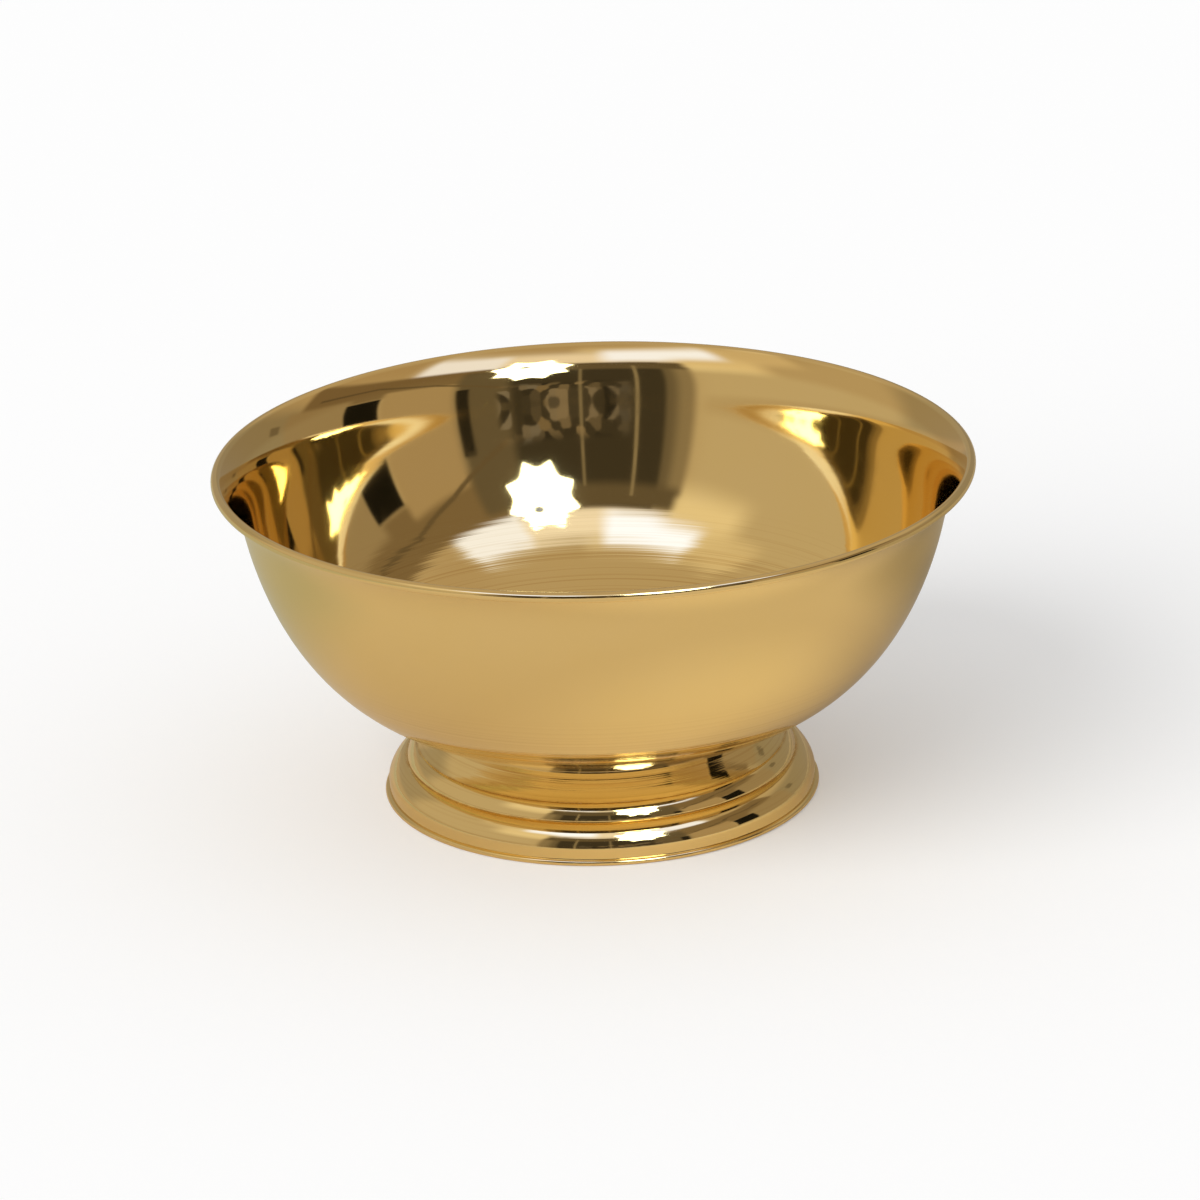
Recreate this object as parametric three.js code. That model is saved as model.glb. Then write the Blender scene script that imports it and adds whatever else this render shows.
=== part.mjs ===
// Lavabo bowl: a small footed bowl of spun, gold-plated brass, for washing the hands.
// A deep round bowl with a turned-out lip rolled round a wire is soldered to a spun foot, which has a
// flared neck, a rounded bead on its shoulder and a full base with a flat ring inside it.
// Millimetres, +Z up. The axis of the bowl is Z, and the foot stands on z = 0.

import * as THREE from 'three';

// Facets round the axis, the same for every piece, so that the faces that touch match exactly
const FACETS = 56;
// Steps along the bowl's section: under the foot's seat, up the wall, up the flare and round the wire
const SEAT_STEPS = 2;
const WALL_STEPS = 9;
const FLARE_STEPS = 7;
const CURL_STEPS = 6;

// Bowl: sheet thickness, flat floor, and the outside of the wall, whose curve would stand upright at
// the belly's radius and rise
const BOWL_SHEET = 0.8;
const FLOOR_RADIUS = 16;
const BELLY_RADIUS = 84;
const BELLY_RISE = 70;
// How square the curve of the wall is near the lip and near the floor, where 2 would be an ellipse
const WALL_FULLNESS = 2.9;
const BELLY_FULLNESS = 1.915;

// Lip: its flare leaves the wall this far in from the belly's radius, and keeps first the wall's lean
// and then its own slope. The wire's centre stands out from the belly's radius and below its rise
const FLARE_INSET = 4;
const FLARE_HOLD = 9.8;
const LIP_HOLD = 7.9;
const LIP_SLOPE = 46;
const LIP_REACH = 3.8;
const LIP_DROP = 8.2;
const WIRE_RADIUS = 0.4;
const CURL_GAP = 0.4;

// Foot, from the neck outwards to the small rim round its base
const FOOT_SHEET = 1;
const NECK_RADIUS = 39.3;
const NECK_FLARE = 4.2;
const BEAD_WIDTH = 2.5;
const QUIRK_WIDTH = 0.2;
const BASE_ROLL_WIDTH = 4.25;
const RIM_PROJECTION = 0.9;

// Foot, from the table upwards
const RIM_RISE = 1.5;
const BASE_BAND = 3.5;
const BASE_ROLL_RISE = 5.4;
const BEAD_RISE = 3.7;
const NECK_FLARE_RISE = 5.8;
const NECK_STRAIGHT = 1;

// How full the base and the bead swell, where 0 would be a chamfer and 0.55 an ellipse, and how deep
// and how far up the neck is hollowed
const BASE_FULLNESS = 0.39;
const BEAD_FULLNESS = 0.28;
const NECK_HOLLOW = 0.5;
const NECK_HOLLOW_PLACE = 0.4;

// Seat, ring and solder
const SEAT_WIDTH = 6;
const SEAT_FILM = 0.3;
const SEAT_FILLET = 0.8;
const RING_WIDTH = 4;
const RING_SETBACK = 1.3;
const RING_FILLET = 0.8;

// Radii and heights that follow from the sizes above
const bandRadius = NECK_RADIUS + NECK_FLARE;
const beadRadius = bandRadius + BEAD_WIDTH;
const rollRadius = beadRadius + QUIRK_WIDTH;
const baseRadius = rollRadius + BASE_ROLL_WIDTH;
const shoulder = BASE_BAND + BASE_ROLL_RISE;
const beadTop = shoulder + BEAD_RISE;
const neckTop = beadTop + NECK_FLARE_RISE;
const footTop = neckTop + NECK_STRAIGHT;
const seatInner = NECK_RADIUS - SEAT_WIDTH;
const seatOuter = NECK_RADIUS + SEAT_FILLET;
const flareRadius = BELLY_RADIUS - FLARE_INSET;

const radians = THREE.MathUtils.degToRad;
const point = (radius, height) => new THREE.Vector2(radius, height);

// Points along an arc of an ellipse round a centre, from one angle to another in degrees
function arc(centre, halfWidth, halfHeight, from, to, steps) {
  return Array.from({ length: steps + 1 }, (_, step) => {
    const angle = radians(from + ((to - from) * step) / steps);
    return point(centre.x + halfWidth * Math.cos(angle), centre.y + halfHeight * Math.sin(angle));
  });
}

// The other face of a sheet: the line moved to its left by the sheet's thickness, with mitred corners
function otherFace(line, thickness) {
  const normals = line.slice(1).map((end, index) => {
    const along = end.clone().sub(line[index]).normalize();
    return point(-along.y, along.x);
  });
  return line.map((corner, index) => {
    const before = normals[Math.max(index - 1, 0)];
    const after = normals[Math.min(index, normals.length - 1)];
    const mitre = before.clone().add(after).divideScalar(1 + before.dot(after));
    return corner.clone().addScaledVector(mitre, thickness);
  });
}

// A solid of revolution from a section that runs anticlockwise, seen with the axis on the left
function revolve(name, section, finish) {
  const geometry = new THREE.LatheGeometry(section, FACETS);
  geometry.rotateX(Math.PI / 2);
  const mesh = new THREE.Mesh(geometry, finish);
  mesh.name = name;
  return mesh;
}

// A ring's section comes back to its first point
const ringSection = (points) => [...points, points[0].clone()];

const goldPlate = () => new THREE.MeshStandardMaterial({ color: 0xc9a55c, roughness: 0.08, metalness: 1 });
const bareBrass = () => new THREE.MeshStandardMaterial({ color: 0xb08d4a, roughness: 0.4, metalness: 1 });
const solder = () => new THREE.MeshStandardMaterial({ color: 0xc2a468, roughness: 0.3, metalness: 1 });

// The rise of the bowl's outside above its floor, at a radius
function bellyRise(radius) {
  const share = (radius - FLOOR_RADIUS) / (BELLY_RADIUS - FLOOR_RADIUS);
  return BELLY_RISE * (1 - (1 - share ** WALL_FULLNESS) ** (1 / BELLY_FULLNESS));
}

// Radii between two others, spaced so that the steps along the curved wall are even
function wallRadii(from, to, steps) {
  const reach = BELLY_RADIUS - FLOOR_RADIUS;
  const angleAt = (radius) => Math.asin(((radius - FLOOR_RADIUS) / reach) ** (WALL_FULLNESS / 2));
  const start = angleAt(from);
  const end = angleAt(to);
  return Array.from({ length: steps }, (_, step) => {
    const angle = start + ((end - start) * (step + 1)) / steps;
    return FLOOR_RADIUS + reach * Math.sin(angle) ** (2 / WALL_FULLNESS);
  });
}

// The straight stretch of the bowl's outside that the foot carries, as rise above the floor
function seatRise(radius) {
  const share = (radius - seatInner) / (seatOuter - seatInner);
  return THREE.MathUtils.lerp(bellyRise(seatInner), bellyRise(seatOuter), share);
}

// The bowl stands on the foot's flange with the solder film between them
const bowlBase = footTop + SEAT_FILM - seatRise(NECK_RADIUS);
const wireCentre = point(BELLY_RADIUS + LIP_REACH, bowlBase + BELLY_RISE - LIP_DROP);

// A place on the outside of the bowl, and the direction of the wall there
const onBelly = (radius) => point(radius, bowlBase + bellyRise(radius));
const wallLean = onBelly(flareRadius).sub(onBelly(flareRadius - 0.01)).normalize();

// The outside of the bowl from the axis to where the lip's flare begins
function bowlOutside() {
  const radii = [
    FLOOR_RADIUS,
    ...wallRadii(FLOOR_RADIUS, seatInner, SEAT_STEPS),
    ...wallRadii(seatInner, seatOuter, 1),
    ...wallRadii(seatOuter, flareRadius, WALL_STEPS),
  ];
  return [point(0, bowlBase), ...radii.map(onBelly)];
}

// The wire's surface where the sheet wraps it, clockwise from where the lip arrives until just before
// the curl would meet the lip's underside
function curl(steps) {
  const outside = WIRE_RADIUS + BOWL_SHEET;
  const open = THREE.MathUtils.radToDeg(Math.acos((WIRE_RADIUS - CURL_GAP) / outside));
  const arrival = 90 + LIP_SLOPE;
  return arc(wireCentre, WIRE_RADIUS, WIRE_RADIUS, arrival, arrival - 360 + open, steps);
}

// The underside of the lip, bending from the wall's lean to the slope at which it meets the wire
function flare(start, end) {
  const slope = radians(LIP_SLOPE);
  const bends = [
    start.clone().addScaledVector(wallLean, FLARE_HOLD),
    end.clone().sub(point(LIP_HOLD * Math.cos(slope), LIP_HOLD * Math.sin(slope))),
  ];
  return new THREE.CubicBezierCurve(start, ...bends, end).getPoints(FLARE_STEPS).slice(1, -1);
}

function bowlShell() {
  const wall = bowlOutside();
  const rolled = curl(CURL_STEPS);
  const outside = [...wall, ...flare(wall.at(-1), rolled[0]), ...rolled];
  const inside = otherFace(outside, BOWL_SHEET);
  return revolve('bowl_shell', [...outside, ...inside.reverse()], goldPlate());
}

// The wire fills the curl, and closes it with one more corner at the open side
function lipWire() {
  const wrapped = curl(CURL_STEPS).reverse();
  const chord = wrapped[0].clone().add(wrapped.at(-1)).multiplyScalar(0.5);
  const outward = chord.sub(wireCentre).setLength(WIRE_RADIUS);
  return revolve('lip_wire', ringSection([...wrapped, wireCentre.clone().add(outward)]), bareBrass());
}

// A moulding that starts upright, swells and comes in level
function swelling(start, end, fullness, steps) {
  const bends = [
    point(start.x, THREE.MathUtils.lerp(start.y, end.y, fullness)),
    point(THREE.MathUtils.lerp(end.x, start.x, fullness), end.y),
  ];
  return new THREE.CubicBezierCurve(start, ...bends, end).getPoints(steps);
}

// The neck, drawn in a shallow hollow from the bead up to its straight top
function neckLine() {
  const start = point(bandRadius, beadTop);
  const end = point(NECK_RADIUS, neckTop);
  const chord = end.clone().sub(start);
  const bend = start.clone().addScaledVector(chord, NECK_HOLLOW_PLACE);
  bend.add(point(-chord.y, chord.x).setLength(NECK_HOLLOW));
  return new THREE.QuadraticBezierCurve(start, bend, end).getPoints(4);
}

// The outside of the foot without its rim, from the table up to the inner edge of the flange
function footOutside() {
  const baseRoll = swelling(point(baseRadius, BASE_BAND), point(rollRadius, shoulder), BASE_FULLNESS, 6);
  const ledge = point(bandRadius, shoulder);
  const flange = [NECK_RADIUS, seatInner].map((radius) => point(radius, bowlBase + seatRise(radius) - SEAT_FILM));
  return [point(baseRadius, 0), ...baseRoll, ledge, ...neckLine(), ...flange];
}

function footShell() {
  const outside = footOutside();
  const inside = otherFace(outside, FOOT_SHEET);
  const rim = arc(point(baseRadius, RIM_RISE / 2), RIM_PROJECTION, RIM_RISE / 2, 270, 450, 4);
  return revolve('foot_shell', ringSection([...rim, ...outside.slice(1), ...inside.reverse()]), goldPlate());
}

// The bead stands on the ledge and against the foot's upright step
function neckBead() {
  const round = swelling(point(beadRadius, shoulder), point(bandRadius, beadTop), BEAD_FULLNESS, 5);
  return revolve('neck_bead', ringSection([point(bandRadius, shoulder), ...round]), goldPlate());
}

const ringRadius = baseRadius - FOOT_SHEET;
const ringTop = BASE_BAND - RING_SETBACK;

function footRing() {
  const inner = ringRadius - RING_WIDTH;
  const corners = [point(inner, 0), point(ringRadius, 0), point(ringRadius, ringTop), point(inner, ringTop)];
  return revolve('foot_ring', ringSection(corners), bareBrass());
}

function footRingSolder() {
  const fillet = [
    point(ringRadius - RING_FILLET, ringTop),
    point(ringRadius, ringTop),
    point(ringRadius, ringTop + RING_FILLET),
  ];
  return revolve('foot_ring_solder', ringSection(fillet), solder());
}

// A film on the flange, and a fillet outside it between the neck and the bowl
function seatSolder() {
  const onBowl = (radius) => point(radius, bowlBase + seatRise(radius));
  const onFlange = (radius) => point(radius, bowlBase + seatRise(radius) - SEAT_FILM);
  const corners = [
    onFlange(seatInner),
    onFlange(NECK_RADIUS),
    point(NECK_RADIUS, footTop - SEAT_FILLET),
    onBowl(seatOuter),
    onBowl(seatInner),
  ];
  return revolve('seat_solder', ringSection(corners), solder());
}

const bowl = new THREE.Group();
bowl.add(bowlShell(), lipWire());

const foot = new THREE.Group();
foot.add(footShell(), neckBead(), footRing(), footRingSolder(), seatSolder());

const lavaboBowl = new THREE.Group();
lavaboBowl.add(bowl, foot);

export default lavaboBowl;
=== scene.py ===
"""Lavabo bowl: the looks of a small footed bowl of spun brass, polished and gold-plated.

Every piece is turned metal. Its half section is drawn in Python from the sizes in the sidebar, and
a Geometry Nodes tree carries it round the bowl's axis, Z. The foot stands on z = 0. Metres.
"""

import math

import bpy
from mathutils import Euler, Matrix, Vector


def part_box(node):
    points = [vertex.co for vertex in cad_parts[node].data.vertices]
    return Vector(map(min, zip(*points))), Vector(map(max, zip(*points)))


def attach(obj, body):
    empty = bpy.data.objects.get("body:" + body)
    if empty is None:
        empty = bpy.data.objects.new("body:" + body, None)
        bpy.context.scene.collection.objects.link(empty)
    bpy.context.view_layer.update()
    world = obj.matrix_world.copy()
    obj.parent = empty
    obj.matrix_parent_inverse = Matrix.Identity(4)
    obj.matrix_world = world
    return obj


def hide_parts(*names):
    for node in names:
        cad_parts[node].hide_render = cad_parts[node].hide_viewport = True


bl_info = {
    "name": "Lavabo bowl",
    "version": (1, 0, 0),
    "blender": (4, 5, 0),
    "location": "3D View > Sidebar > Lavabo",
    "description": "Makes a gold-plated lavabo bowl and the studio it stands in",
    "category": "Add Mesh",
}

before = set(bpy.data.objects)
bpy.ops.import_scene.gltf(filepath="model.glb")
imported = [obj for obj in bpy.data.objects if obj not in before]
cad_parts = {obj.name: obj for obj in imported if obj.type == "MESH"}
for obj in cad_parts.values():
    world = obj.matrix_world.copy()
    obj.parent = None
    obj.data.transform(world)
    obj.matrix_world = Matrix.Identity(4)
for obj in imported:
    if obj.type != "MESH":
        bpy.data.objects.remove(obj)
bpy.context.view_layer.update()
UNDERSIDE, LIP_TOP = (corner.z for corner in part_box("bowl_shell"))
FOOT_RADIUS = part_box("foot_shell")[1].x
RING_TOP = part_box("foot_ring")[1].z

MM = 0.001
BODY = "root"

# Faces of a piece round the axis, and waves of the spun sheet to a metre
COLUMNS = 240
WAVE_DENSITY = 26.0

# Names of the values that each section carries round the axis to its mesh
SIDE = "section_side"
RUN = "section_run"

# What SIDE says of a face: outside, on an inner face that nobody polishes, or in the bowl
OUTSIDE, HIDDEN, INSIDE = 0.0, 1.0, -1.0

# How deep the marks and lumps are in each metal
GOLD_MARKS = 0.004 * MM
BRASS_MARKS = 0.012 * MM
SOLDER_LUMPS = 0.05 * MM


# Sizes and finishes that a user may change

def length(name, description, default, lowest=0.0):
    """A size in metres."""
    return bpy.props.FloatProperty(
        name=name, description=description, default=default, min=lowest,
        subtype="DISTANCE", unit="LENGTH", precision=5,
    )


def turn(name, description, degrees):
    """An angle, given in degrees and kept in radians."""
    return bpy.props.FloatProperty(
        name=name, description=description, default=math.radians(degrees),
        subtype="ANGLE", unit="ROTATION",
    )


def share(name, description, default):
    """A share from 0 to 1."""
    return bpy.props.FloatProperty(
        name=name, description=description, default=default, min=0.0, max=1.0, subtype="FACTOR",
    )


def amount(name, description, default, lowest=0.0):
    """A plain number."""
    return bpy.props.FloatProperty(name=name, description=description, default=default, min=lowest)


def colour(name, description, default):
    """A colour in linear light."""
    return bpy.props.FloatVectorProperty(
        name=name, description=description, default=default, min=0.0, max=1.0,
        size=3, subtype="COLOR",
    )


class LavaboBowlSizes(bpy.types.PropertyGroup):
    """Sizes of the bowl and its rolled lip"""

    sheet: length("Sheet", "Thickness of the bowl's metal", 0.8 * MM)
    base: length("Underside height", "Height of the bowl's flat underside", UNDERSIDE)
    floor_radius: length("Floor radius", "Radius of the flat floor", 16 * MM)
    belly_radius: length("Belly radius", "Where the curve of the wall would stand upright", 84 * MM)
    belly_rise: length("Belly rise", "Height of that place above the underside", 70 * MM)
    wall_fullness: amount("Wall fullness", "How square the wall's curve is near the lip", 2.9)
    belly_fullness: amount("Belly fullness", "How square the curve is near the floor", 1.915)
    flare_inset: length("Flare inset", "How far inside the belly radius the flare begins", 4 * MM)
    flare_hold: length("Flare hold", "How far the flare keeps on along the wall's lean", 9.8 * MM)
    lip_hold: length("Lip hold", "How far the lip keeps its slope down from the wire", 7.9 * MM)
    lip_slope: turn("Lip slope", "Slope at which the lip meets the wire", 46)
    lip_reach: length("Lip reach", "How far the wire's centre is beyond the belly radius", 3.8 * MM)
    lip_drop: length("Lip drop", "How far the wire's centre is below the belly rise", 8.2 * MM)
    wire_radius: length("Wire radius", "Radius of the wire in the lip", 0.4 * MM)
    curl_gap: length("Curl gap", "Gap left open under the rolled edge", 0.4 * MM)


class LavaboFootSizes(bpy.types.PropertyGroup):
    """Sizes of the foot, its bead, its ring and the solder"""

    sheet: length("Sheet", "Thickness of the foot's metal", 1 * MM)
    neck_radius: length("Neck radius", "Radius of the neck under the bowl", 39.3 * MM)
    neck_flare: length("Neck flare", "How far the neck spreads down to the bead", 4.2 * MM)
    neck_rise: length("Neck rise", "Height of the flared neck", 5.8 * MM)
    neck_hollow: length("Neck hollow", "How deep the neck is drawn in", 0.5 * MM)
    hollow_place: share("Hollow place", "How far up the neck its hollow is deepest", 0.4)
    bead_width: length("Bead width", "How far the bead stands out from the step", 2.5 * MM)
    bead_rise: length("Bead rise", "Height of the bead", 3.7 * MM)
    bead_fullness: share("Bead fullness", "Swell of the bead: 0 a chamfer, 0.55 an ellipse", 0.28)
    quirk_width: length("Quirk width", "Width of the shoulder outside the bead", 0.2 * MM)
    roll_width: length("Base roll width", "Width of the swelling base", 4.25 * MM)
    roll_rise: length("Base roll rise", "Height of the swelling base", 5.4 * MM)
    roll_fullness: share("Base fullness", "Swell of the base: 0 a chamfer, 0.55 an ellipse", 0.39)
    base_band: length("Base band", "Height of the upright band at the base", 3.5 * MM)
    rim_projection: length("Rim projection", "How far the rim stands out", 0.9 * MM)
    rim_rise: length("Rim rise", "Height of the rim round the base", 1.5 * MM)
    seat_width: length("Seat width", "Width of the flange under the bowl", 6 * MM)
    seat_film: length("Solder film", "Thickness of the solder on the flange", 0.3 * MM)
    seat_fillet: length("Seat fillet", "Size of the solder outside the neck", 0.8 * MM)
    ring_width: length("Ring width", "Width of the flat ring inside the base", 4 * MM)
    ring_fillet: length("Ring fillet", "Size of the solder over the ring", 0.8 * MM)


class LavaboFinishes(bpy.types.PropertyGroup):
    """Colours and polish of the metals"""

    columns: bpy.props.IntProperty(
        name="Columns", description="Faces round the axis", default=COLUMNS, min=16, max=1024,
    )
    gold: colour("Gold", "Colour of the gold plate", (0.92, 0.72, 0.33))
    worn_gold: colour("Worn gold", "Colour of the gold where it is rubbed", (0.92, 0.73, 0.38))
    # Deep gold is partly painted shade, where it darkens the quirks by the bead
    deep_gold_and_painted_shade: colour("Deep gold", "Colour of the gold in the quirks", (0.66, 0.42, 0.14))
    brass: colour("Brass", "Colour of the bare brass", (0.60, 0.42, 0.17))
    tarnish: colour("Tarnish", "Colour of the tarnished brass", (0.26, 0.16, 0.07))
    solder: colour("Solder", "Colour of the solder", (0.62, 0.48, 0.26))
    polish: share("Polish", "Roughness of the polished gold", 0.045)
    satin: share("Satin", "Roughness of the gold that was left unpolished", 0.27)
    waviness: length("Waviness", "How far the spun sheet is out of true", 0.012 * MM)
    wave_density: amount("Wave density", "Waves of the sheet to a metre", WAVE_DENSITY)


class LavaboStudio(bpy.types.PropertyGroup):
    """Camera and light"""

    aim_height: length("Aim height", "Height of the point that the camera looks at", 39.3 * MM)
    distance: length("Distance", "Distance of the camera from that point", 1.5)
    pitch: turn("Pitch", "How far the camera looks down", 20.802)
    roll: turn("Roll", "How far the picture is turned", -1.7)
    focal: amount("Focal length", "Focal length in widths of the picture", 6382.98 / 1200)
    aim_right: amount("Aim right", "Where the point stands right of the middle, in widths", -0.0018)
    aim_down: amount("Aim down", "Where the point stands below the middle, in widths", 0.02297)
    floor_level: share("Floor", "Lightness of the floor", 0.8)
    floor_in_metal: colour("Floor in metal", "Floor's colour in the metal", (0.68, 0.575, 0.445))
    # Floor near is painted light and floor far right a painted shadow, in the floor that the metal
    # shows
    floor_near_painted_light: colour("Floor near", "The same in front, at the right", (0.85, 0.74, 0.575))
    floor_far_left: colour("Floor far left", "The same behind, at the left", (0.51, 0.485, 0.37))
    floor_far_right_painted_shadow: colour("Floor far right", "The same behind, at the right", (0.43, 0.36, 0.26))
    sky_level: share("Sky", "Strength of the light from all round", 0.66)
    key_level: amount("Key light", "Strength of the soft key light", 1.9)


# Shader and geometry maths

class Value:
    """A node's output, which Python's own arithmetic turns into Math nodes."""

    def __init__(self, bench, socket):
        self.bench = bench
        self.socket = socket

    def math(self, operation, *terms):
        """A Math node with these terms, each a value or a plain number."""
        settings = {"operation": operation}
        return self.bench.node("ShaderNodeMath", settings, dict(enumerate(terms)))

    def __add__(self, other):
        return self.math("ADD", self, other)

    __radd__ = __add__

    def __mul__(self, other):
        return self.math("MULTIPLY", self, other)

    __rmul__ = __mul__

    def __sub__(self, other):
        return self.math("SUBTRACT", self, other)

    def __rsub__(self, other):
        return self.math("SUBTRACT", other, self)

    def __pow__(self, other):
        return self.math("POWER", self, other)

    def __neg__(self):
        return self.math("MULTIPLY", self, -1.0)

    def __abs__(self):
        return self.math("ABSOLUTE", self)

    def at_least(self, other):
        return self.math("MAXIMUM", self, other)

    def at_most(self, other):
        return self.math("MINIMUM", self, other)

    def ramp(self, low, high):
        """0 below low and 1 above high, with a smooth step between; low may be the higher one."""
        inputs = {"Value": self, "From Min": low, "From Max": high}
        return self.bench.node("ShaderNodeMapRange", {"interpolation_type": "SMOOTHSTEP"}, inputs)

    def between(self, low, high, soft):
        """1 between low and high and 0 outside them, with edges that are soft wide."""
        rising = self.ramp(low - soft / 2, low + soft / 2)
        return rising * self.ramp(high + soft / 2, high - soft / 2)


class Bench:
    """The nodes of one material, world or Geometry Nodes tree."""

    def __init__(self, tree):
        self.tree = tree

    def node(self, kind, settings=None, inputs=None, output=0):
        """Adds a node, sets it up, fills or links its inputs and gives one of its outputs."""
        made = self.tree.nodes.new(kind)
        for name, value in (settings or {}).items():
            setattr(made, name, value)
        for key, value in (inputs or {}).items():
            socket = made.inputs[key]
            if isinstance(value, Value):
                self.tree.links.new(value.socket, socket)
            else:
                socket.default_value = value
        return Value(self, made.outputs[output])

    def mix(self, factor, first, second):
        """A colour from first to second, in the sockets that a Mix node has for colours."""
        inputs = {0: factor, 6: rgba(first), 7: rgba(second)}
        return self.node("ShaderNodeMix", {"data_type": "RGBA"}, inputs, 2)

    def vector(self, x, y, z):
        """A vector from its x, y and z."""
        return self.node("ShaderNodeCombineXYZ", inputs={"X": x, "Y": y, "Z": z})

    def parts(self, vector):
        """The x, y and z of a vector."""
        first = self.node("ShaderNodeSeparateXYZ", inputs={"Vector": vector})
        return [Value(self, socket) for socket in first.socket.node.outputs]

    def distance(self, parts, place):
        """How far a point, given in parts, is from a place."""
        return sum((part - middle) ** 2.0 for part, middle in zip(parts, place)) ** 0.5

    def noise(self, where, scale, detail=2.0, roughness=0.5, seed=0.0):
        """Noise from 0 to 1. The seed is the fourth dimension."""
        return self.node("ShaderNodeTexNoise", {"noise_dimensions": "4D"}, {
            "Vector": where, "W": seed, "Scale": scale, "Detail": detail, "Roughness": roughness,
        })

    def attribute(self, name):
        """A number that the mesh carries."""
        settings = {"attribute_type": "GEOMETRY", "attribute_name": name}
        return self.node("ShaderNodeAttribute", settings, output="Fac")


def rgba(value):
    """A plain colour as a colour socket takes it; a link stays as it is."""
    if isinstance(value, Value):
        return value
    if isinstance(value, (int, float)):
        return (value, value, value, 1.0)
    return (*value, 1.0)


# Half sections. A section is a list of corners: radius, height and side

def arc(centre, width, height, start, end, steps):
    """Points on an ellipse round a centre, from one angle to another in degrees."""
    points = []
    for step in range(steps + 1):
        angle = math.radians(start + (end - start) * step / steps)
        points.append((centre[0] + width * math.cos(angle), centre[1] + height * math.sin(angle)))
    return points


def other_face(line, thickness):
    """The other face of a sheet: the line moved to its left, with mitred corners."""
    normals = []
    for (r0, z0), (r1, z1) in zip(line, line[1:]):
        step = math.hypot(r1 - r0, z1 - z0)
        normals.append((-(z1 - z0) / step, (r1 - r0) / step))
    moved = []
    for index, (r, z) in enumerate(line):
        before = normals[max(index - 1, 0)]
        after = normals[min(index, len(normals) - 1)]
        reach = thickness / (1 + before[0] * after[0] + before[1] * after[1])
        moved.append((r + reach * (before[0] + after[0]), z + reach * (before[1] + after[1])))
    return moved


def on_side(side, points):
    """Corners that all lie on one side."""
    return [(r, z, side) for r, z in points]


def belly_height(sizes, radius):
    """Height of the bowl's outside at a radius."""
    reach = sizes.belly_radius - sizes.floor_radius
    part = min(max((radius - sizes.floor_radius) / reach, 0.0), 1.0)
    rise = 1 - (1 - part ** sizes.wall_fullness) ** (1 / sizes.belly_fullness)
    return sizes.base + sizes.belly_rise * rise


def wire_centre(sizes):
    """Radius and height of the wire in the lip."""
    return sizes.belly_radius + sizes.lip_reach, sizes.base + sizes.belly_rise - sizes.lip_drop


def curl_angles(sizes):
    """Where the sheet arrives at the wire and where its edge ends, in degrees, clockwise."""
    outside = sizes.wire_radius + sizes.sheet
    gap = math.degrees(math.acos((sizes.wire_radius - sizes.curl_gap) / outside))
    arrival = 90 + math.degrees(sizes.lip_slope)
    return arrival, arrival - 360 + gap


def point_along(start, aim, distance):
    """The point at a distance from one point in the direction of another."""
    apart = math.dist(start, aim)
    return tuple(a + (b - a) * distance / apart for a, b in zip(start, aim))


def bent_line(corners, steps):
    """Points on a smooth line from the first corner to the last, pulled towards those between."""
    order = len(corners) - 1
    points = []
    for step in range(steps + 1):
        t = step / steps
        pulls = [
            math.comb(order, nth) * (1 - t) ** (order - nth) * t ** nth for nth in range(order + 1)
        ]
        points.append(tuple(
            sum(pull * corner[axis] for pull, corner in zip(pulls, corners)) for axis in (0, 1)
        ))
    return points


def bowl_outside(sizes, steps=100, lip_steps=52):
    """The underside and outer wall, from the axis to where the lip meets the wire."""
    reach = sizes.belly_radius - sizes.floor_radius
    end_angle = math.asin((1 - sizes.flare_inset / reach) ** (sizes.wall_fullness / 2))
    points = [(0.0, sizes.base), (sizes.floor_radius / 2, sizes.base)]
    for step in range(steps + 1):
        part = math.sin(end_angle * step / steps) ** (2 / sizes.wall_fullness)
        radius = sizes.floor_radius + reach * part
        points.append((radius, belly_height(sizes, radius)))
    start = points[-1]
    centre, slope, wire = wire_centre(sizes), sizes.lip_slope, sizes.wire_radius
    touch = math.pi / 2 + slope
    end = (centre[0] + wire * math.cos(touch), centre[1] + wire * math.sin(touch))
    below = (end[0] - math.cos(slope), end[1] - math.sin(slope))
    flare = point_along(start, points[-2], -sizes.flare_hold)
    lip = point_along(end, below, sizes.lip_hold)
    return points + bent_line((start, flare, lip, end), lip_steps)[1:-1]


def bowl_section(sizes):
    """The bowl's sheet: out along its underside, round the wire, back over the roll, and inside."""
    outside = bowl_outside(sizes)
    inside = other_face(outside, sizes.sheet)
    inside[0] = (0.0, inside[0][1])
    arrival, edge = curl_angles(sizes)
    thin, thick = sizes.wire_radius, sizes.wire_radius + sizes.sheet
    wire_side = arc(wire_centre(sizes), thin, thin, arrival, edge, steps=24)
    roll = arc(wire_centre(sizes), thick, thick, edge, arrival, steps=56)
    return (
        on_side(OUTSIDE, outside) + on_side(HIDDEN, wire_side)
        + on_side(OUTSIDE, roll) + on_side(INSIDE, inside[::-1])
    )


def wire_section(sizes):
    """The round wire in the lip."""
    wire = arc(wire_centre(sizes), sizes.wire_radius, sizes.wire_radius, 0, 360, steps=20)
    return on_side(HIDDEN, wire[:-1])


def foot_levels(foot):
    """Radii and heights that follow from the foot's sizes."""
    step = foot.neck_radius + foot.neck_flare
    bead = step + foot.bead_width
    roll = bead + foot.quirk_width
    shoulder = foot.base_band + foot.roll_rise
    bead_top = shoulder + foot.bead_rise
    return {
        "step": step, "bead": bead, "roll": roll, "base": roll + foot.roll_width,
        "shoulder": shoulder, "bead_top": bead_top, "neck": bead_top + foot.neck_rise,
    }


def swelling(start, end, fullness, steps):
    """A moulding that starts upright, swells and comes in level."""
    up = (start[0], start[1] + (end[1] - start[1]) * fullness)
    level = (end[0] + (start[0] - end[0]) * fullness, end[1])
    return bent_line((start, up, level, end), steps)


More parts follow.
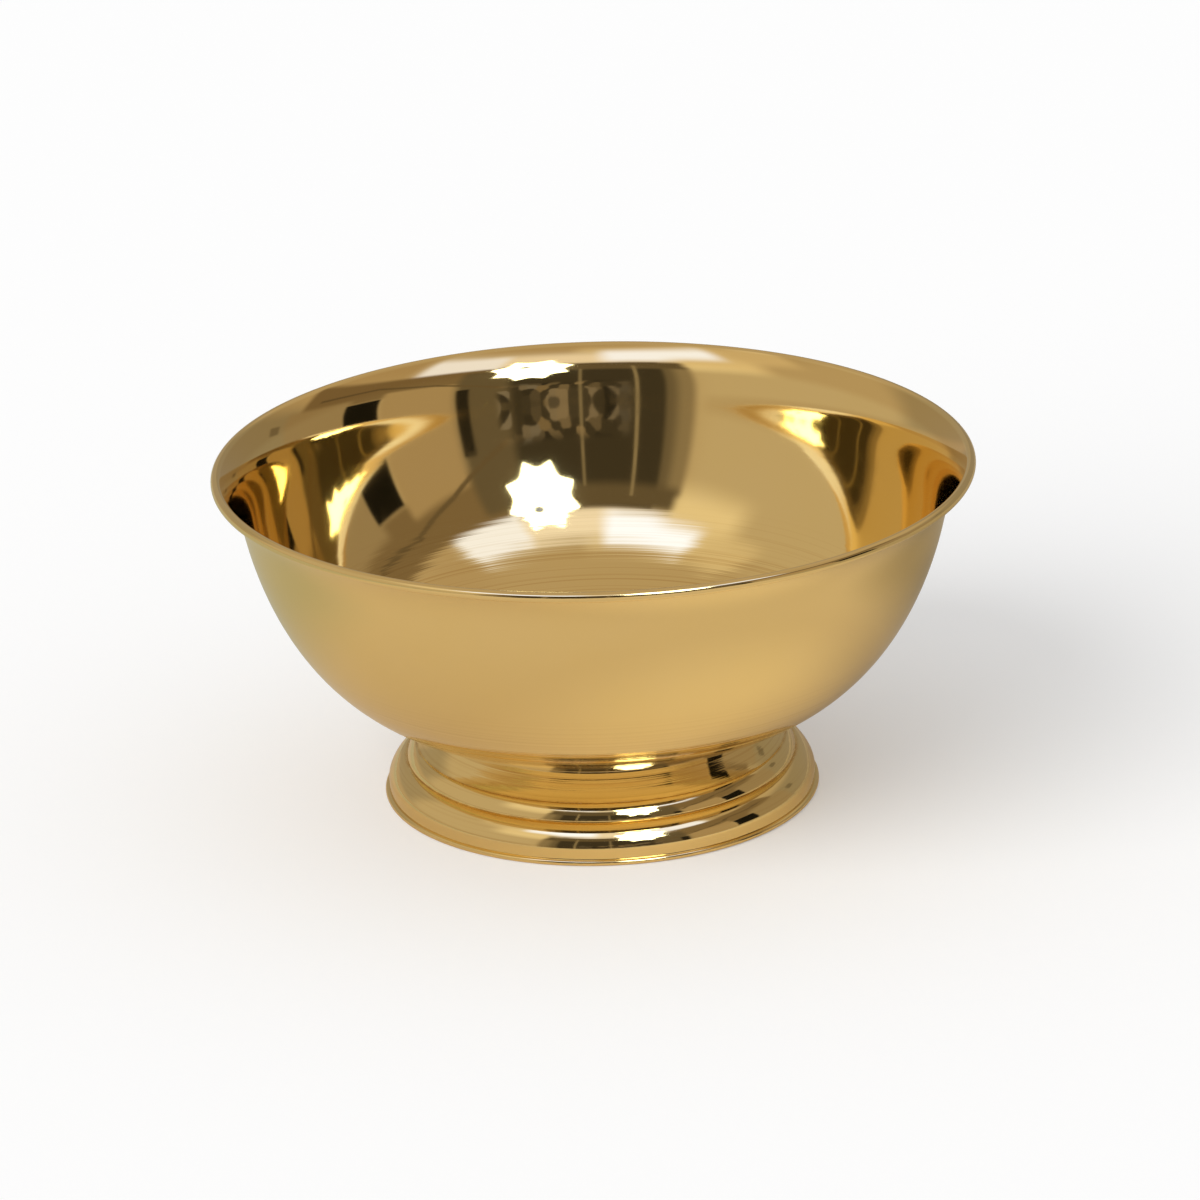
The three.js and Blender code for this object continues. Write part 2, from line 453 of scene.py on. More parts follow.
def neck_line(foot):
    """The neck, drawn in a shallow hollow from the bead up to its straight top."""
    at = foot_levels(foot)
    start, end = (at["step"], at["bead_top"]), (foot.neck_radius, at["neck"])
    run, rise = end[0] - start[0], end[1] - start[1]
    deep = foot.neck_hollow / math.hypot(run, rise)
    bend = (
        start[0] + run * foot.hollow_place - rise * deep,
        start[1] + rise * foot.hollow_place + run * deep,
    )
    return bent_line((start, bend, end), steps=36)


def seat_line(bowl, foot, first, last, lift, steps=10):
    """Points under the bowl from one radius to another, a little below its outside."""
    radii = [first + (last - first) * step / steps for step in range(steps + 1)]
    return [(radius, belly_height(bowl, radius) - lift) for radius in radii]


def foot_section(bowl, foot):
    """The foot's sheet: its rim, base, neck and flange, and back along the hollow side."""
    at = foot_levels(foot)
    half = foot.rim_rise / 2
    outside = [(at["base"], 0.0)]
    low, high = (at["base"], foot.base_band), (at["roll"], at["shoulder"])
    outside += swelling(low, high, foot.roll_fullness, steps=40)
    outside += [(at["step"], at["shoulder"])] + neck_line(foot)
    inner = foot.neck_radius - foot.seat_width
    outside += seat_line(bowl, foot, foot.neck_radius, inner, foot.seat_film)
    inside = other_face(outside, foot.sheet)
    rim = arc((at["base"], half), foot.rim_projection, half, 270, 450, steps=20)
    return on_side(OUTSIDE, rim + outside[1:]) + on_side(HIDDEN, inside[::-1])


def bead_section(foot):
    """The bead stands on the ledge and against the foot's upright step."""
    at = foot_levels(foot)
    start, end = (at["bead"], at["shoulder"]), (at["step"], at["bead_top"])
    back = (at["step"], at["shoulder"])
    return on_side(OUTSIDE, [back] + swelling(start, end, foot.bead_fullness, steps=30))


def ring_section(foot):
    """The flat ring inside the base, with its edges trimmed."""
    outer = foot_levels(foot)["base"] - foot.sheet
    inner, top, trim = outer - foot.ring_width, RING_TOP, 0.15 * MM
    return on_side(HIDDEN, [
        (inner + trim, 0.0), (outer - trim, 0.0), (outer, trim), (outer, top),
        (inner + trim, top), (inner, top - trim), (inner, trim),
    ])


def ring_solder_section(foot):
    """The hollow fillet between the ring and the foot."""
    outer, top, size = foot_levels(foot)["base"] - foot.sheet, RING_TOP, foot.ring_fillet
    hollow = arc((outer - size, top + size), size, size, 270, 360, steps=8)
    return on_side(HIDDEN, [(outer, top)] + hollow[::-1])


def seat_solder_section(bowl, foot):
    """A film on the flange, and a hollow fillet outside it between the neck and the bowl."""
    outer = foot.neck_radius + foot.seat_fillet
    inner = foot.neck_radius - foot.seat_width
    under = seat_line(bowl, foot, inner, foot.neck_radius, foot.seat_film)
    over = seat_line(bowl, foot, outer, inner, 0.0)
    low = (foot.neck_radius, under[-1][1] - foot.seat_fillet)
    high = over[0]
    off_neck, off_bowl = 0.1 * MM, 0.25 * MM
    bend = (foot.neck_radius + off_neck, high[1] - off_bowl)
    fillet = bent_line((low, bend, high), steps=8)
    return on_side(OUTSIDE, under + fillet[:-1] + over)


# The tree that turns a section into metal

def section_mesh(name, section, closed):
    """A line of edges in the XZ plane, which knows its side and how far along it runs."""
    count = len(section)
    edges = [(index, index + 1) for index in range(count - 1)]
    if closed:
        edges.append((count - 1, 0))
    mesh = bpy.data.meshes.new(name)
    mesh.from_pydata([(r, 0.0, z) for r, z, _ in section], edges, [])
    run, runs = 0.0, [0.0]
    for (r0, z0, _), (r1, z1, _) in zip(section, section[1:]):
        run += math.hypot(r1 - r0, z1 - z0)
        runs.append(run)
    for attribute, values in ((SIDE, [side for _, _, side in section]), (RUN, runs)):
        layer = mesh.attributes.new(attribute, "FLOAT", "POINT")
        layer.data.foreach_set("value", values)
    return mesh


def turning_tree():
    """Geometry Nodes that carry a section round Z, with named inputs for what may change."""
    tree = bpy.data.node_groups.new("Turned metal", "GeometryNodeTree")
    for name, kind, default in (
        ("Section", "NodeSocketGeometry", None),
        ("Columns", "NodeSocketInt", COLUMNS),
        ("Corner Angle", "NodeSocketFloat", math.radians(35)),
        ("Waviness", "NodeSocketFloat", 0.0),
        ("Wave Density", "NodeSocketFloat", WAVE_DENSITY),
        ("Seed", "NodeSocketFloat", 0.0),
        ("Finish", "NodeSocketMaterial", None),
    ):
        socket = tree.interface.new_socket(name=name, in_out="INPUT", socket_type=kind)
        if default is not None:
            socket.default_value = default
    tree.interface.new_socket(name="Metal", in_out="OUTPUT", socket_type="NodeSocketGeometry")
    bench = Bench(tree)
    entry = bench.node("NodeGroupInput").socket.node
    given = {socket.name: Value(bench, socket) for socket in entry.outputs if socket.name}

    # The path is a circle of 0.1 m, and the section stands off it by its own radius less that
    path_radius = 0.1
    path = bench.node(
        "GeometryNodeCurvePrimitiveCircle", {"mode": "RADIUS"},
        {"Resolution": given["Columns"], "Radius": path_radius},
    )
    curve = bench.node("GeometryNodeMeshToCurve", inputs={0: given["Section"]})
    x, _, z = bench.parts(bench.node("GeometryNodeInputPosition"))
    flat = bench.node("GeometryNodeSetPosition", inputs={
        "Geometry": curve, "Position": bench.vector(x - path_radius, -z, 0.0),
    })
    swept = bench.node("GeometryNodeCurveToMesh", inputs={"Curve": path, "Profile Curve": flat})

    # The swept faces point inwards, and points on the axis lie on each other
    outwards = bench.node("GeometryNodeFlipFaces", inputs={0: swept})
    weld = 0.001 * MM
    closed = bench.node("GeometryNodeMergeByDistance", inputs={
        "Geometry": outwards, "Distance": weld,
    })

    # Spun sheet is never quite true, and a mirror finish shows it. The face on the table stays flat
    place = bench.node("GeometryNodeInputPosition")
    density, seed = given["Wave Density"], given["Seed"]
    ripple = bench.noise(place, density, detail=1.0, roughness=0.4, seed=seed)
    above_table = bench.parts(place)[2].ramp(0.5 * MM, 4 * MM)
    push = bench.node("ShaderNodeVectorMath", {"operation": "SCALE"}, {
        0: bench.node("GeometryNodeInputNormal"),
        "Scale": (ripple - 0.5) * 2.0 * given["Waviness"] * above_table,
    })
    wavy = bench.node("GeometryNodeSetPosition", inputs={"Geometry": closed, "Offset": push})

    # Round faces shade smoothly, and corners stay crisp
    smooth = bench.node("GeometryNodeSetShadeSmooth", {"domain": "FACE"}, {0: wavy})
    turned = bench.node("GeometryNodeInputMeshEdgeAngle")
    corner = bench.node("FunctionNodeCompare", {"operation": "GREATER_THAN"}, {
        0: turned, 1: given["Corner Angle"],
    })
    sharp = bench.node("GeometryNodeSetShadeSmooth", {"domain": "EDGE"}, {
        0: smooth, "Selection": corner, "Shade Smooth": False,
    })
    real = bench.node("GeometryNodeRealizeInstances", inputs={0: sharp})
    painted = bench.node("GeometryNodeSetMaterial", inputs={0: real, "Material": given["Finish"]})
    leave = tree.nodes.new("NodeGroupOutput")
    tree.links.new(painted.socket, leave.inputs[0])
    return tree


def add_object(name, data):
    """Puts an object in the scene."""
    added = bpy.data.objects.new(name, data)
    bpy.context.scene.collection.objects.link(added)
    return added


def turn_metal(name, section, metal, node, closed=True, waviness=0.0, seed=0.0):
    """Makes one turned piece that stands for a CAD node."""
    finishes = bpy.context.scene.lavabo_finishes
    tree = bpy.data.node_groups.get("Turned metal") or turning_tree()
    blank = add_object(name + "_section", section_mesh(name, section, closed))
    modifier = blank.modifiers.new("Turned metal", "NODES")
    modifier.node_group = tree
    settings = {
        "Columns": finishes.columns, "Waviness": waviness,
        "Wave Density": finishes.wave_density, "Seed": seed, "Finish": metal,
    }
    for socket in tree.interface.items_tree:
        if socket.name in settings:
            modifier[socket.identifier] = settings[socket.name]
    bpy.context.view_layer.update()
    evaluated = blank.evaluated_get(bpy.context.evaluated_depsgraph_get())
    mesh = bpy.data.meshes.new_from_object(evaluated)
    mesh.name = name
    blank.modifiers.remove(modifier)
    bpy.data.objects.remove(blank)
    if len(mesh.polygons) == 0:
        raise RuntimeError(f"{name} came out empty")
    piece = add_object(name, mesh)
    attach(piece, BODY)
    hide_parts(node)
    return piece


# Finishes

def new_finish(name):
    """A material with only its output, and its bench."""
    material = bpy.data.materials.new(name)
    material.use_nodes = True
    material.node_tree.nodes.clear()
    return material, Bench(material.node_tree)


def close_finish(material, shader):
    """Links the shader to the material's output."""
    leave = material.node_tree.nodes.new("ShaderNodeOutputMaterial")
    material.node_tree.links.new(shader.socket, leave.inputs["Surface"])
    return material


def metal_shader(bench, base, roughness, height, depth):
    """A metal with a bump whose height runs from 0 to 1 over a depth in metres."""
    normal = bench.node("ShaderNodeBump", inputs={
        "Strength": 1.0, "Distance": depth, "Height": height,
    })
    return bench.node("ShaderNodeBsdfPrincipled", inputs={
        "Base Color": base, "Metallic": 1.0, "Roughness": roughness, "Normal": normal,
    })


def turned_marks(bench, across, along, detail=2.0, roughness=0.6, seed=0.0):
    """Noise in marks round the axis, so many to a metre across the section and along the turn."""
    x, y, _ = bench.parts(bench.node("ShaderNodeTexCoord", output="Object"))
    run = bench.attribute(RUN)
    where = bench.vector(x * along, y * along, run * across)
    return bench.noise(where, 1.0, detail, roughness, seed)


def polished_gold():
    """Polished gold plate: a mirror with faint spinning rings, hairlines and wiped smudges."""
    finishes = bpy.context.scene.lavabo_finishes
    foot = bpy.context.scene.lavabo_foot
    material, bench = new_finish("polished_gold")
    place = bench.node("ShaderNodeTexCoord", output="Object")
    x, y, z = bench.parts(place)
    radius = (x * x + y * y) ** 0.5
    side = bench.attribute(SIDE)
    unpolished = side.at_least(0.0)

    # Rings left by the spinner's tool are clearest low in the bowl, where the mop reaches least
    low = z.ramp(47 * MM, 33 * MM) * (0.4 + 0.6 * z.ramp(10 * MM, 21 * MM))
    rings = turned_marks(bench, 1500.0, 3.0, seed=3.0)
    fine_rings = turned_marks(bench, 7000.0, 9.0, detail=1.0, roughness=0.5, seed=5.0)
    broad_rings = turned_marks(bench, 430.0, 2.0, detail=1.0, roughness=0.5, seed=8.0)
    dull_rings = low * turned_marks(bench, 1300.0, 2.0, seed=14.0).ramp(0.48, 0.66)
    brushing = turned_marks(bench, 2600.0, 14.0)

    # Marks of use: hairlines, swirls and wiped smudges
    hairlines = turned_marks(bench, 5200.0, 110.0, seed=9.0).ramp(0.62, 0.74)
    swirl = turned_marks(bench, 240.0, 34.0, detail=3.0, seed=12.0).ramp(0.35, 0.75)
    cloud = bench.noise(place, 42.0, detail=4.0, roughness=0.6, seed=1.0)
    wiped = bench.noise(place, 520.0, detail=3.0, roughness=0.7, seed=2.0).ramp(0.3, 0.7)
    smudge = cloud.ramp(0.52, 0.70) * wiped

    # Rubbed edges: the crown of the lip and the foot's lower edge
    crown = z.ramp(LIP_TOP - 0.9 * MM, LIP_TOP - 0.1 * MM)
    rim = z.ramp(1.2 * MM, 0.2 * MM) * radius.ramp(FOOT_RADIUS - 1.6 * MM, FOOT_RADIUS - 0.4 * MM)
    patchy = bench.noise(place, 190.0, detail=3.0, roughness=0.6, seed=4.0).ramp(0.35, 0.65)
    rubbed = (crown + rim).at_most(1.0) * patchy

    # Polish residue and dirt stay in the quirks under and over the bead, and the deeper gold there
    # is partly painted shade in those creases
    at = foot_levels(foot)
    under = abs(z - at["shoulder"]).ramp(0.5 * MM, 0.05 * MM)
    under = under * radius.ramp(at["roll"] + 0.7 * MM, at["roll"])
    over = abs(z - at["bead_top"]).ramp(0.4 * MM, 0.05 * MM)
    over = over * radius.ramp(at["bead"], at["bead"] - 1.0 * MM)
    crumbs = bench.noise(place, 260.0, detail=3.0, roughness=0.6, seed=6.0).ramp(0.3, 0.6)
    residue_and_painted_shade = (under + over).at_most(1.0) * crumbs

    # The inside of the lip is handled and wiped most, and its gold has gone a little deeper
    handled = (-side).at_least(0.0) * z.ramp(LIP_TOP - 5.5 * MM, LIP_TOP - 3.5 * MM)

    tone = bench.mix(cloud.ramp(0.35, 0.7) * 0.25, finishes.gold, finishes.worn_gold)
    tone = bench.mix(rubbed * 0.6, tone, finishes.worn_gold)
    # Deep gold over the quirks is residue and painted shade; over the rings and the handled lip it
    # is the gold's own deeper tone
    for mark, strength in ((residue_and_painted_shade, 0.55), (dull_rings, 0.5), (handled, 0.35)):
        tone = bench.mix(mark * strength, tone, finishes.deep_gold_and_painted_shade)

    rough = finishes.polish + 0.018 * swirl + 0.05 * smudge + 0.03 * hairlines
    rough = rough + 0.05 * rubbed + 0.22 * residue_and_painted_shade + (finishes.satin - finishes.polish) * unpolished
    height = rings * (0.15 + 7.0 * low) + broad_rings * (0.3 + 16.0 * low)
    height = height + fine_rings * (0.02 + 0.05 * low) - 0.05 * hairlines
    height = height + bench.noise(place, 34.0, detail=1.0, seed=7.0) * 1.6
    height = height + unpolished * brushing * 2.4
    return close_finish(material, metal_shader(bench, tone, rough.at_most(0.6), height, GOLD_MARKS))


def bare_brass(name, across, along, seed):
    """Bare brass with turned or drawn marks, tarnished in patches."""
    finishes = bpy.context.scene.lavabo_finishes
    material, bench = new_finish(name)
    place = bench.node("ShaderNodeTexCoord", output="Object")
    marks = turned_marks(bench, across, along, seed=seed)
    patches = bench.noise(place, 70.0, detail=4.0, roughness=0.65, seed=seed + 1.0).ramp(0.42, 0.68)
    specks = bench.noise(place, 900.0, roughness=0.6, seed=seed + 2.0).ramp(0.6, 0.75)
    dull = (patches * 0.55 + specks * 0.25).at_most(1.0)
    tone = bench.mix(dull, finishes.brass, finishes.tarnish)
    rough = (0.24 + 0.12 * patches + 0.10 * marks + 0.08 * specks).at_most(0.7)
    height = marks + specks * 0.4
    return close_finish(material, metal_shader(bench, tone, rough, height, BRASS_MARKS))


def flowed_solder():
    """Solder that has flowed: soft lumps, a duller skin and a few pinholes."""
    finishes = bpy.context.scene.lavabo_finishes
    material, bench = new_finish("flowed_solder")
    place = bench.node("ShaderNodeTexCoord", output="Object")
    lumps = bench.noise(place, 260.0, seed=1.0)
    skin = bench.noise(place, 120.0, detail=4.0, roughness=0.6, seed=2.0).ramp(0.4, 0.7)
    pinholes = bench.noise(place, 1500.0, detail=1.0, seed=3.0).ramp(0.70, 0.78)
    dull = (skin * 0.4 + pinholes * 0.5).at_most(1.0)
    tone = bench.mix(dull, finishes.solder, finishes.tarnish)
    rough = (0.20 + 0.16 * skin + 0.2 * pinholes).at_most(0.7)
    height = lumps * 1.4 - pinholes * 0.6
    return close_finish(material, metal_shader(bench, tone, rough, height, SOLDER_LUMPS))


def finish(name):
    """A finish by its name, made when it is first asked for."""
    made = bpy.data.materials.get(name)
    if made:
        return made
    makers = {
        "polished_gold": polished_gold,
        "turned_brass": lambda: bare_brass("turned_brass", 3200.0, 6.0, 20.0),
        "drawn_brass": lambda: bare_brass("drawn_brass", 5200.0, 3.0, 30.0),
        "flowed_solder": flowed_solder,
    }
    return makers[name]()


# Studio

# What the polished metal shows: azimuths from the camera's side to the right, and elevations, in
# degrees, with how soft the edges are, how much a patch climbs to the right, the strength, and the
# warmth of the light from -1 to 1. Later patches lie over earlier ones
ROOM = (
    ("back wall, right", 110, 181, -6, 30, 14, 0.0, 0.34, 0.1),
    ("back wall, left", -181, -115, -6, 34, 14, 0.0, 0.42, 0.1),
    ("left wall", -120, -35, -6, 50, 16, 0.0, 0.60, 0.15),
    ("left wall, high", -86, -54, 44, 62, 10, 0.0, 0.78, 0.1),
    ("left skirting", -160, -38, -6, 6, 5, 0.0, 0.50, 0.3),
    ("right wall, high", 66, 130, 46, 64, 12, 0.0, 0.48, 0.4),
    ("ceiling, left", -58, 6, 44, 64, 12, 0.0, 0.90, -0.05),
    ("ceiling, right", -2, 70, 44, 60, 12, 0.0, 0.84, -0.25),
    ("ceiling, middle", -10, 42, 44, 57, 9, 0.0, 1.15, -0.3),
    ("window above, left", -54, -5, 45.5, 61, 10, 0.0, 1.48, -1.0),
    ("window above, right", 34, 68, 40.5, 57, 7, 0.0, 1.3, -0.8),
    ("right wall, dark", 36, 112, 22, 42.5, 4, 0.0, 0.20, 0.7),
    ("right wall, low", 46, 74, -6, 27, 4, 0.10, 0.40, 0.5),
    ("right wall, far", 88, 118, -6, 27, 5, 0.0, 0.33, 0.4),
    ("door jamb", -66, -32, 33, 48, 14, 0.0, 0.96, 0.0),
    ("door leaf", -35, -22, -6, 36, 4, 0.0, 0.28, 0.3),
    ("door leaf, far edge", -29, -20, -6, 35, 5, 0.0, 0.16, 0.3),
    ("doorway", -25, 34, -6, 43, 2.5, 0.0, 0.055, 0.2),
    ("lintel", -34, 12, 33, 43, 5, 0.0, 0.13, 0.4),
    ("doorway, near side", 27, 46, -6, 39.5, 5, 0.0, 0.14, 0.3),
    ("dark bar", 41, 45.5, -6, 17, 1.5, 0.0, 0.025, 0.2),
    ("pale upright, right", 2.9, 4.0, -6, 34, 0.6, 0.0, 0.24, 0.2),
    ("pale upright, left", -16.0, -14.7, -6, 38, 0.6, 0.0, 0.30, 0.2),
    ("cornice, near", 29, 55, 20.4, 22.2, 0.8, 0.485, 0.13, 0.6),
    ("cornice, middle", 55, 79, 30.2, 32.0, 0.8, 0.29, 0.13, 0.6),
    ("cornice, far", 79, 105, 32.4, 34.2, 0.8, -0.10, 0.13, 0.6),
    ("dark frame", 74.5, 89, 1, 22, 1.5, 0.0, 0.012, 0.0),
    ("dark spot", 121, 126, 14, 20, 1.5, 0.0, 0.2, 0.2),
)

# The room's own tint, between plain white light and what the gold shows of it
ROOM_TINT = (0.87, 0.77, 0.625)


def warmth(level, warm):
    """A light's colour from its strength and its warmth, which is -1 for the blue of a window."""
    if warm >= 0:
        shade = (1 + 0.30 * warm, 1.0, 1 - 0.30 * warm)
    else:
        shade = (1 + 0.12 * warm, 1 - 0.22 * warm, 1 - 1.9 * warm)
    return tuple(level * tint * part for tint, part in zip(ROOM_TINT, shade))


def room_light(bench):
    """The light that polished metal shows, by the direction in which a reflection leaves."""
    x, y, z = bench.parts(bench.node("ShaderNodeTexCoord", output="Generated"))
    to_degrees = 180 / math.pi
    azimuth = x.math("ARCTAN2", x, -y) * to_degrees
    elevation = z.math("ARCSINE", z.at_most(1.0).at_least(-1.0)) * to_degrees
    light = warmth(0.52, 0.3)
    for _, left, right, low, high, soft, climb, level, warm in ROOM:
        height = elevation - (azimuth - (left + right) / 2) * climb if climb else elevation
        inside = azimuth.between(left, right, soft) * height.between(low, high, soft)
        light = bench.mix(inside, light, warmth(level, warm))

    # Square things stand in the dark doorway, 3 to 10 degrees, and some catch a little light
    grid = bench.vector(azimuth * 0.30, elevation * 0.27, 0.0)
    settings = {"distance": "CHEBYCHEV", "voronoi_dimensions": "2D"}
    inputs = {"Vector": grid, "Scale": 1.0, "Randomness": 1.0}
    cells = bench.node("ShaderNodeTexVoronoi", settings, inputs, "Color")
    pick, hue, _ = bench.parts(cells)
    inside = azimuth.between(-13, 31, 3) * elevation.between(1, 16, 4) * 0.8
    catching = bench.mix(hue, warmth(0.30, 0.6), warmth(0.26, -0.25))
    light = bench.mix(inside * pick.ramp(0.45, 1.0), light, catching)
    return bench.mix(inside * pick.ramp(0.30, 0.12), light, warmth(0.02, 0.0))


def kinds_of_ray(bench):
    """1 for a ray that the camera sends, straight or through glass, and 1 for one off the metal."""
    names = ("Is Camera Ray", "Is Transmission Ray", "Is Glossy Ray")
    camera, glass, metal = (bench.node("ShaderNodeLightPath", output=name) for name in names)
    return camera.at_least(glass), metal


def hang_world(studio):
    """White to the camera, the room in the metal, and plain even light on everything else."""
    world = bpy.data.worlds.new("studio")
    world.use_nodes = True
    world.node_tree.nodes.clear()
    bench = Bench(world.node_tree)
    seen, mirrored = kinds_of_ray(bench)
    light = bench.mix(mirrored, studio.sky_level, room_light(bench))
    light = bench.mix(seen, light, 1.0)
    background = bench.node("ShaderNodeBackground", inputs={"Color": light, "Strength": 1.0})
    leave = world.node_tree.nodes.new("ShaderNodeOutputWorld")
    world.node_tree.links.new(background.socket, leave.inputs["Surface"])

    # The room is soft and all round, so no rays are aimed at it
    world.cycles.sampling_method = "NONE"
    bpy.context.scene.world = world


def lay_floor(studio):
    """A pale floor that is white to the camera and keeps the bowl's shadow."""
    reach = 6.0
    mesh = bpy.data.meshes.new("studio_floor")
    corners = [(-reach, -reach, 0), (reach, -reach, 0), (reach, reach, 0), (-reach, reach, 0)]
    mesh.from_pydata(corners, [], [(0, 1, 2, 3)])
    material, bench = new_finish("studio_floor")
    seen, mirrored = kinds_of_ray(bench)
    x, y, _ = bench.parts(bench.node("ShaderNodeTexCoord", output="Object"))

    # The metal shows the floor with painted light in front of the foot, at the right, where the
    # bowl shades it, and with a painted shadow of the bowl behind it at the right; behind it at the
    # left the floor is darker too
    near = bench.distance((x, y), (36 * MM, -46 * MM)).ramp(92 * MM, 25 * MM)
    behind_left = (y * 0.6 - x * 0.8).ramp(55 * MM, 145 * MM)
    painted_shadow_behind_right = (y * 0.5 + x * 0.85).ramp(90 * MM, 160 * MM)
    metal_sees = bench.mix(near, studio.floor_in_metal, studio.floor_near_painted_light)
    metal_sees = bench.mix(behind_left, metal_sees, studio.floor_far_left)
    metal_sees = bench.mix(painted_shadow_behind_right, metal_sees, studio.floor_far_right_painted_shadow)
    shade = bench.mix(mirrored, studio.floor_level, metal_sees)
    paint = bench.node("ShaderNodeBsdfDiffuse", inputs={"Color": shade})
    lift = (1 - studio.floor_level) * seen
    glow = bench.node("ShaderNodeEmission", inputs={"Color": rgba(1.0), "Strength": lift})
    both = bench.node("ShaderNodeAddShader", inputs={0: paint, 1: glow})
    mesh.materials.append(close_finish(material, both))
    floor = add_object("studio_floor", mesh)


def reflection_only(thing):
    """Shows a thing only in polished metal."""
    thing.visible_camera = False
    thing.visible_diffuse = False
    thing.visible_shadow = False
    thing.visible_transmission = False
    thing.visible_volume_scatter = False


def towards(azimuth, elevation):
    """A direction from the bowl, by degrees to the right of the camera's side and degrees up."""
    a, e = math.radians(azimuth), math.radians(elevation)
    return Vector((math.sin(a) * math.cos(e), -math.cos(a) * math.cos(e), math.sin(e)))


def umbrella_cloth(width, height):
    """Points and faces of an umbrella of eight panels, each cut in between its two ribs."""
    panels, steps, rings = 8, 8, (0.35, 0.7, 1.0)

    # How far the middle stands out in metres, the share that is cut in, and an angle in radians
    crown, cut, first_rib = 0.06, 0.23, -0.467
    points, faces = [(0.0, 0.0, crown)], []
    for column in range(panels * steps):
        angle = 2 * math.pi * column / (panels * steps) + first_rib
        cut_here = cut * math.sin(math.pi * (column % steps) / steps)
        for ring in rings:
            reach = ring * (1 - cut_here * ring ** 2)
            across, up = width * reach * math.cos(angle), height * reach * math.sin(angle)
            points.append((across, up, crown * (1 - ring ** 2)))
    for here in range(1, len(points), len(rings)):
        there = here + len(rings) if here + len(rings) < len(points) else 1
        faces.append((0, here, there))
        faces.append((here, here + 1, there + 1, there))
        faces.append((here + 1, here + 2, there + 2, there + 1))
    return points, faces


def open_umbrella():
    """A white studio umbrella, with the dark hub of its shaft, that only the metal shows."""
    direction, distance = towards(22.0, 40.2), 1.45
    centre = direction * distance
    turned = direction.to_track_quat("Z", "Y").to_matrix().to_4x4()
    points, faces = umbrella_cloth(0.312, 0.39)
    mesh = bpy.data.meshes.new("studio_umbrella")
    mesh.from_pydata(points, [], faces)
    mesh.transform(Matrix.Translation(centre) @ turned)
    material, bench = new_finish("studio_umbrella")
    place = bench.parts(bench.node("ShaderNodeTexCoord", output="Object"))
    hub = centre + turned @ Vector((0.053, 0.125, 0.05))
    off_hub = bench.distance(place, hub).ramp(32 * MM, 52 * MM)
    cloth = bench.mix(off_hub, (0.04, 0.05, 0.10), (0.85, 0.95, 1.0))
    glow = bench.node("ShaderNodeEmission", inputs={"Color": cloth, "Strength": 6.5})
    mesh.materials.append(close_finish(material, glow))
    umbrella = add_object("studio_umbrella", mesh)
    reflection_only(umbrella)


def set_key_light(studio):
    """A broad soft light from the left, in front, low enough to reach under the bowl."""
    azimuth, elevation, spread = -46, 32, 50
    lamp = bpy.data.lights.new("key_light", "SUN")
    lamp.energy = studio.key_level
    lamp.angle = math.radians(spread)
    key = add_object("key_light", lamp)
    key.rotation_euler = towards(azimuth, elevation).to_track_quat("Z", "Y").to_euler()
    key.visible_glossy = False


def set_camera(studio):
    """The camera at the photograph's angle, aimed so that the bowl stands where it does there."""
    pitch = studio.pitch
    forward = Vector((0, math.cos(pitch), -math.sin(pitch)))
    place = Vector((0, 0, studio.aim_height)) - forward * studio.distance
    camera = bpy.data.cameras.new("photo_camera")
    camera.sensor_fit = "HORIZONTAL"
    camera.sensor_width = 36.0
    camera.lens = studio.focal * camera.sensor_width
    camera.clip_start, camera.clip_end = 0.05, 50.0
    level = Euler((math.pi / 2 - pitch, 0, 0)).to_matrix()
    yaw = math.atan(studio.aim_right / studio.focal)
    tilt = math.atan(studio.aim_down / studio.focal)
    aimed = level @ Matrix.Rotation(studio.roll, 3, "Z")
    aimed = aimed @ Euler((tilt, yaw, 0)).to_matrix()
    stand = add_object("photo_camera", camera)
    stand.matrix_world = Matrix.Translation(place) @ aimed.to_4x4()
    bpy.context.scene.camera = stand


# Operators

class MakeBowl(bpy.types.Operator):
    """Makes the bowl with its rolled lip, and the wire in the lip"""

    bl_idname = "lavabo.make_bowl"
    bl_label = "Bowl and lip wire"

    def execute(self, context):
        sizes, finishes = context.scene.lavabo_bowl, context.scene.lavabo_finishes
        turn_metal(
            "bowl", bowl_section(sizes), finish("polished_gold"), "bowl_shell",
            closed=False, waviness=finishes.waviness, seed=4.0,
        )
        turn_metal(
            "wire_in_lip", wire_section(sizes), finish("drawn_brass"), "lip_wire",
        )
        return {"FINISHED"}


class MakeFoot(bpy.types.Operator):
    """Makes the spun foot and the bead round its neck"""

    bl_idname = "lavabo.make_foot"
    bl_label = "Foot and bead"

    def execute(self, context):
        bowl, foot = context.scene.lavabo_bowl, context.scene.lavabo_foot
        gold, waviness = finish("polished_gold"), context.scene.lavabo_finishes.waviness
        turn_metal(
            "foot", foot_section(bowl, foot), gold, "foot_shell",
            waviness=waviness, seed=11.0,
        )
        turn_metal("bead", bead_section(foot), gold, "neck_bead")
        return {"FINISHED"}


class MakeRing(bpy.types.Operator):
    """Makes the flat ring inside the base and the solder over it"""

    bl_idname = "lavabo.make_ring"
    bl_label = "Base ring"

    def execute(self, context):
        foot = context.scene.lavabo_foot
        turn_metal(
            "base_ring", ring_section(foot), finish("turned_brass"), "foot_ring",
        )
        turn_metal(
            "base_ring_solder", ring_solder_section(foot), finish("flowed_solder"),
            "foot_ring_solder", waviness=SOLDER_LUMPS, seed=17.0,
        )
        return {"FINISHED"}


